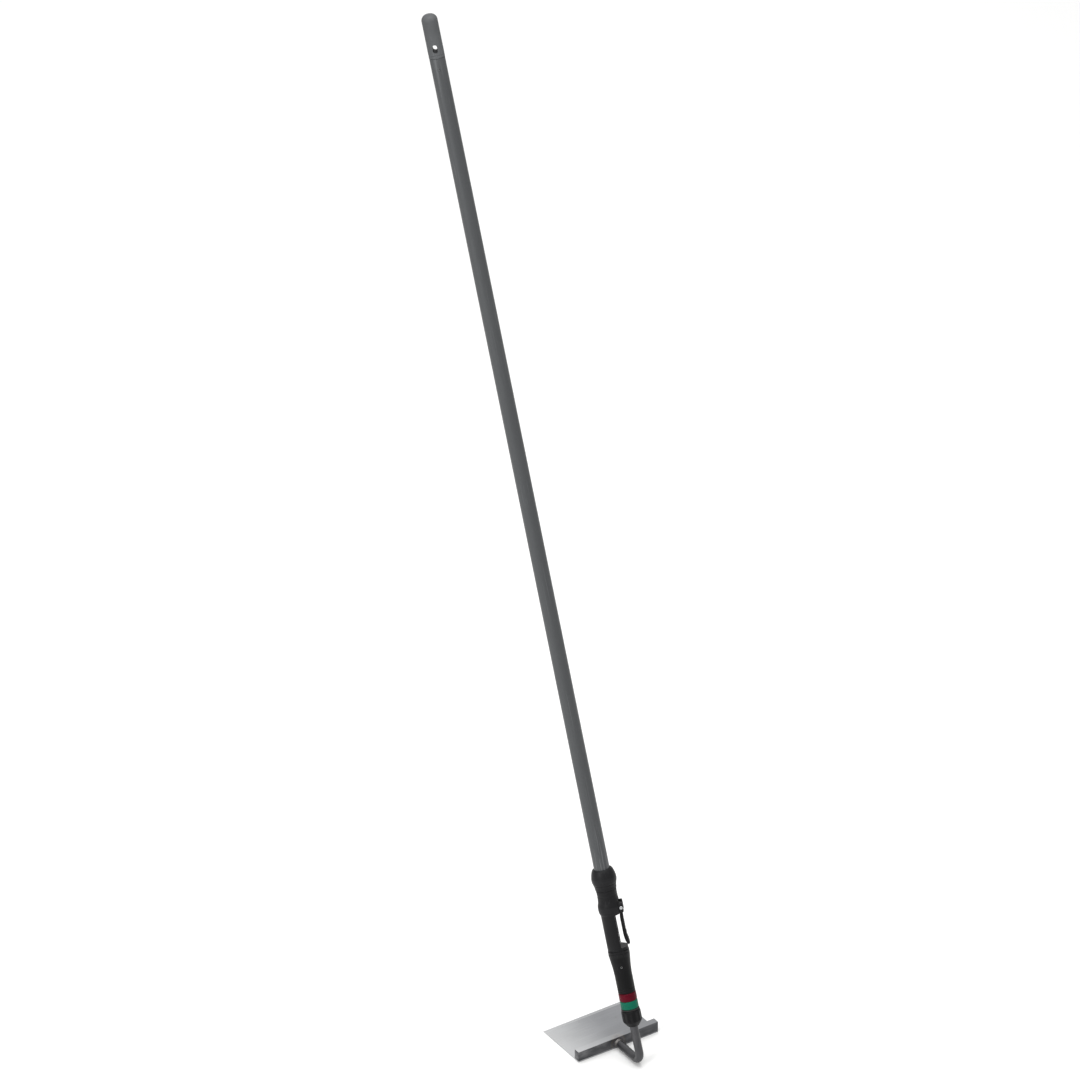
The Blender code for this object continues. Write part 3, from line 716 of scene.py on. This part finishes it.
def build_ferrule(worn, steel):
    foot, top, rim_radius = span("ferrule")
    ring_seat = span("red_ring")[1] + GAP
    tang_top = span("neck_rod")[1]
    spigot_foot = span("clamp_body")[0]
    barrel = 13.9
    seat_radius = 11.0
    tang_bore = NECK_RADIUS + GAP
    outer = [(16.2, top), (rim_radius, top - 1.2), (rim_radius, top - 3.4), (rim_radius - 0.45, top - 3.9),
             (rim_radius - 0.45, top - 4.7), (rim_radius, top - 5.2), (rim_radius, top - 8.2),
             (16.2, top - 15.2), (15.1, top - 24.2), (14.3, top - 33.2), (barrel, top - 43.2),
             (barrel, ring_seat + 9), (barrel - 0.4, ring_seat + 8.5), (barrel - 0.4, ring_seat + 7.7),
             (barrel, ring_seat + 7.2), (barrel, ring_seat + 5.2), (barrel - 0.4, ring_seat + 4.7),
             (barrel - 0.4, ring_seat + 3.9), (barrel, ring_seat + 3.4), (barrel, ring_seat + 0.8),
             (barrel - 0.8, ring_seat), (seat_radius, ring_seat), (seat_radius, foot)]
    inner_low = [(tang_bore, foot), (tang_bore, tang_top + 2), (0, tang_top + 2)]
    inner_high = [(0, spigot_foot - 2), (10.0, spigot_foot - 2), (10.0, top)]
    profile = rounded(inner_high + outer + inner_low, 0.7, 3)
    ferrule = placed("ferrule_barrel", lathe(profile, 96), HANDLE)
    pin_height = (span("ferrule_pin")[0] + span("ferrule_pin")[1]) / 2
    place = raised(pin_height) @ ALONG_ACROSS
    carve(ferrule, [("DIFFERENCE", pin(PIN_HOLE_RADIUS, 20, 32, 0.1), place)])
    soften(ferrule, 0.2, 2, 55)
    surface = moulded("ferrule_plastic", (0.004, 0.004, 0.0044), 0.4, worn, worn_radius=rim_radius)
    finish_piece(ferrule, surface, "head", ["ferrule"], 50)
    roll_pin("ferrule_roll_pin", ROLL_PIN_RADIUS, 14.6, place, "head", "ferrule_pin", steel)


def build_rings():
    surfaces = {
        "red_ring": (gloss_ring("red_plastic", (0.088, 0.0005, 0.008), (0.055, 0.0005, 0.006)), "ring_red"),
        "green_ring": (gloss_ring("green_plastic", (0.004, 0.118, 0.07), (0.003, 0.09, 0.055)), "ring_green"),
        "seal_washer": (rubber(), "seal_rubber"),
    }
    for node, (surface, slot) in surfaces.items():
        foot, top, radius = span(node)
        bore = 11.3
        edge = min(0.9, (top - foot) * 0.3)
        profile = [(bore, foot), (radius - edge, foot), (radius, foot + edge), (radius, top - edge),
                   (radius - edge, top), (bore, top)]
        ring = placed(node + "_band", lathe(rounded(profile, 0.5, 4)), HANDLE)
        finish_piece(ring, surface, "head", [node], 60)


def build_nut(worn):
    foot, top, radius = span("lock_nut")
    bore = 11.5
    neck_hole = NECK_RADIUS + 0.5
    floor = foot + 6.7

    def flute(reach, height, angle):
        run_in = max(0.0, min(1.0, (height - foot - 8.5) / 3.0))
        run_out = max(0.0, min(1.0, (top - 1.2 - height) / 1.6))
        if reach <= radius - 1.3:
            return 0.0
        return 0.35 * (1 - math.cos(NUT_FLUTES * angle)) * run_in * run_out

    side = [(radius, foot + 10.5 + (top - foot - 13.5) * k / 8) for k in range(9)]
    profile = [(neck_hole, foot), (8.6, foot), (12.4, foot + 5), (radius - 0.5, foot + 8.8)] + side
    profile += [(radius - 0.3, top - 1.4), (radius - 1.2, top), (bore, top), (bore, floor),
                (neck_hole, floor)]
    nut = placed("lock_nut_fluted", lathe(rounded(profile, 0.6, 3), 240, flute), HANDLE)
    surface = moulded("nut_plastic", (0.0045, 0.0045, 0.005), 0.42, worn, worn_radius=radius + 0.05)
    finish_piece(nut, surface, "nut", ["lock_nut"], 55)


# Neck, weld, clamp bar and blade

def neck_route():
    """Centre line of the neck in the plane x = 0, as (y, z, tilt, length run), from the tang to the bar."""
    lean = math.atan2(HANDLE.col[2].y, HANDLE.col[2].z)
    up = Vector((math.sin(lean), math.cos(lean)))
    foot = Vector((HANDLE.translation.y, 0.0)) / MM
    axis_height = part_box("neck_rod")[0].z / MM + NECK_RADIUS
    corner = foot + up * (axis_height / math.cos(lean))
    turned = math.pi / 2 + lean
    start = corner + up * (NECK_BEND * math.tan(turned / 2))
    centre = start + Vector((up.y, -up.x)) * NECK_BEND
    top = span("neck_rod")[1]
    run = 0.0
    points = []
    for height in (top, top - 1.0, 110.0, 80.0, 55.0):
        spot = foot + up * height
        points.append((spot.x, spot.y, lean))
    steps = 28
    for step in range(steps + 1):
        swept = turned * step / steps
        angle = math.pi - lean + swept
        spot = centre + Vector((math.cos(angle), math.sin(angle))) * NECK_BEND
        points.append((spot.x, spot.y, lean - swept))
    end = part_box("clamp_bar")[0].y / MM - GAP
    for share in (0.5, 1.0):
        points.append((points[4 + steps + 1][0] * (1 - share) + end * share, axis_height, -math.pi / 2))
    route = []
    for index, (y, z, tilt) in enumerate(points):
        if index:
            run += math.dist((y, z), points[index - 1][:2])
        route.append((y, z, tilt, run))
    return route


def build_neck():
    steps = 72
    bm = bmesh.new()
    path = bm.verts.layers.float_vector.new("path")
    rings = []
    for index, (y, z, tilt, run) in enumerate(neck_route()):
        reach = NECK_RADIUS - 1.0 if index == 0 else NECK_RADIUS
        place = Matrix.Translation((0, y, z)) @ Matrix.Rotation(-tilt, 4, "X")
        ring = []
        for step in range(steps):
            angle = 2 * math.pi * step / steps
            x, side = reach * math.cos(angle), reach * math.sin(angle)
            vertex = bm.verts.new(place @ Vector((x, side, 0)))
            vertex[path] = Vector((x, side, run)) * MM
            ring.append(vertex)
        rings.append(ring)
    for upper, lower in zip(rings, rings[1:]):
        for step in range(steps):
            after = (step + 1) % steps
            bm.faces.new([upper[step], upper[after], lower[after], lower[step]])
    bm.faces.new(rings[0])
    bm.faces.new(rings[-1])
    neck = placed("bent_neck", bm, WORLD)
    finish_piece(neck, dark_bar(), "head", ["neck_rod"], 50)
    build_weld()


def build_weld():
    """A bead laid round the neck's end in overlapping ripples."""
    radius = NECK_RADIUS
    low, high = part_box("neck_weld")
    centre = (low + high) / 2
    ripples = 30
    draw = random.Random(7)
    sizes = [draw.uniform(0.85, 1.15) for _ in range(ripples)]

    def lump(reach, height, angle):
        if reach < radius + 0.2:
            return 0.0
        phase = angle / (2 * math.pi) * ripples + 0.35 * height
        size = sizes[int(phase) % ripples]
        return 0.17 * (1 - math.sin(math.pi * (phase % 1.0)) ** 0.7) * size

    leg = 1.55
    length = 3.6
    rim = [(radius + leg * (1 - t) ** 0.8, length * t) for t in (k / 10 for k in range(11))]
    bead = [(radius - 0.2, length), (radius - 0.2, -GAP), (radius + leg, -GAP)] + rim
    place = Matrix.Translation((centre.x, high.y, centre.z)) @ ALONG_ACROSS
    weld = placed("neck_weld_bead", lathe(bead, 240, lump), place)
    finish_piece(weld, weld_metal(), "head", ["neck_weld"], 60)


def hex_socket(radius, depth):
    bm = bmesh.new()
    corners = [(radius * math.cos(math.pi / 3 * k), radius * math.sin(math.pi / 3 * k)) for k in range(6)]
    low = [bm.verts.new((x, y, -1)) for x, y in corners]
    high = [bm.verts.new((x, y, depth)) for x, y in corners]
    bm.faces.new(low)
    bm.faces.new(high)
    for k in range(6):
        bm.faces.new([low[k], low[(k + 1) % 6], high[(k + 1) % 6], high[k]])
    return bm


def build_blade(steel):
    low, high = (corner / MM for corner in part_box("blade"))
    outline = [(-high.y + EDGE_GRIND, high.z), (-high.y, 0.4), (-high.y, 0), (-low.y, 0), (-low.y, high.z)]
    turn = Matrix.Rotation(-math.pi / 2, 4, "Z")
    blade = placed("blade_plate", prism(outline, high.x), turn)
    bar_low, bar_high = (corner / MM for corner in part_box("clamp_bar"))
    bar = placed("blade_clamp_bar", block(tuple(bar_low), tuple(bar_high)), WORLD)
    sink = [(0, -0.35), (4.95, -0.35), (2.3, 2.0), (2.3, 12), (0, 12)]
    holes = []
    for index in range(3):
        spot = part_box("blade_screw_%d" % (index + 1))
        centre = (spot[0] + spot[1]) / 2
        holes.append(Matrix.Translation((centre.x, centre.y, 0)))
    for piece in (blade, bar):
        carve(piece, [("DIFFERENCE", lathe(sink, SMALL), hole) for hole in holes])
    blade.data.transform(turn)
    blade.matrix_world = WORLD
    soften(blade, 0.18, 2, 12)
    soften(bar, 0.9, 4, 40)
    edge = ground_steel("blade_ground", edge_y=high.y)
    finish_piece(blade, edge, "head", ["blade"], 10)
    weld_at = (0.0, bar_low.y, (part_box("neck_weld")[0].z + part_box("neck_weld")[1].z) / 2 / MM)
    finish_piece(bar, ground_steel("bar_ground", heat_at=weld_at), "head", ["clamp_bar"], 40)
    screw = [(0, 0.3), (3.55, 0.3), (3.8, 0.5), (2.0, 2.3), (2.0, 10.5), (1.4, 11.1), (0, 11.1)]
    for index, hole in enumerate(holes):
        piece = placed("countersunk_screw_%d" % (index + 1), lathe(rounded(screw, 0.15, 2), SMALL), hole)
        carve(piece, [("DIFFERENCE", hex_socket(1.5, 1.6), hole)])
        soften(piece, 0.08, 2, 40)
        finish_piece(piece, steel, "head", ["blade_screw_%d" % (index + 1)], 35)


def dress_hidden_nodes(steel):
    """CAD nodes whose shape is right keep it and take a finished material."""
    black = moulded("inner_plastic", (0.010, 0.010, 0.011), 0.45)
    surfaces = {
        "tube_plug": black,
        "guide_bush": nylon(),
        "clamp_shoe": brass(),
        "neck_flange": steel,
        "tang_key": steel,
    }
    for node, surface in surfaces.items():
        mesh = frame["nodes"][node].data
        mesh.materials.clear()
        mesh.materials.append(surface)


# Stage, light and camera

def build_stage():
    bm = bmesh.new()
    bmesh.ops.create_grid(bm, x_segments=1, y_segments=1, size=30000)
    floor = placed("floor", bm, Matrix.Translation((0, 0, -0.0002)))
    s = Surface("pale_floor", (0.86, 0.86, 0.855), 0.6)
    s.tint(s.mapped(s.noise(1.3, detail=4.0), 0.4, 0.7, 0.0, 0.4), (0.84, 0.84, 0.835))
    floor.data.materials.append(s.material)
    world = bpy.data.worlds.new("studio")
    bpy.context.scene.world = world
    world.use_nodes = True
    sky = world.node_tree.nodes["Background"]
    sky.inputs["Color"].default_value = (1.0, 1.0, 1.0, 1.0)
    sky.inputs["Strength"].default_value = 0.6
    bpy.context.scene.view_settings.view_transform = "Standard"


def softbox(name, place, target, width, height, power):
    data = bpy.data.lights.new(name, "AREA")
    data.shape = "RECTANGLE"
    data.size = width
    data.size_y = height
    data.energy = power
    lamp = bpy.data.objects.new(name, data)
    bpy.context.collection.objects.link(lamp)
    lamp.location = place
    lamp.rotation_mode = "QUATERNION"
    lamp.rotation_quaternion = (Vector(target) - Vector(place)).to_track_quat("-Z", "Y")


def build_lights():
    softbox("overhead", (0.0, 0.3, 5.0), (0, 0.2, 0), 3.6, 3.6, 185)
    softbox("key", (-3.4, -0.8, 2.6), (0, 0.1, 0.6), 1.4, 2.2, 75)
    softbox("rim", (1.9, 3.0, 2.7), (0, 0.1, 0.5), 1.8, 2.0, 9)
    softbox("low_rim", (1.9, 3.6, 0.95), (0, 0, 0), 2.2, 1.0, 3)


def build_camera():
    azimuth = math.radians(CAMERA_AZIMUTH)
    elevation = math.radians(CAMERA_ELEVATION)
    right = Vector((math.cos(azimuth), math.sin(azimuth), 0))
    back = Vector((math.sin(azimuth) * math.cos(elevation), -math.cos(azimuth) * math.cos(elevation),
                   math.sin(elevation)))
    up = back.cross(right)
    data = bpy.data.cameras.new("camera")
    data.lens = CAMERA_LENS
    data.sensor_width = 36.0
    data.clip_start = 1.0
    data.clip_end = 200.0
    camera = bpy.data.objects.new("camera", data)
    bpy.context.collection.objects.link(camera)
    camera.rotation_mode = "QUATERNION"
    camera.location = right * AIM_RIGHT + up * AIM_UP + back * CAMERA_DISTANCE
    camera.rotation_quaternion = (-back).to_track_quat("-Z", "Y")
    bpy.context.scene.camera = camera


def main():
    build_camera()
    build_stage()
    build_lights()
    worn = (0.04, 0.04, 0.042)
    steel = plated_steel()
    pin_height = build_pole()
    build_cap(pin_height, steel)
    build_collar(worn)
    build_clamp_body(worn)
    build_lever(worn, steel)
    build_ferrule(worn, steel)
    build_rings()
    build_nut(worn)
    build_neck()
    build_blade(steel)
    dress_hidden_nodes(steel)
    bpy.context.view_layer.update()


main()
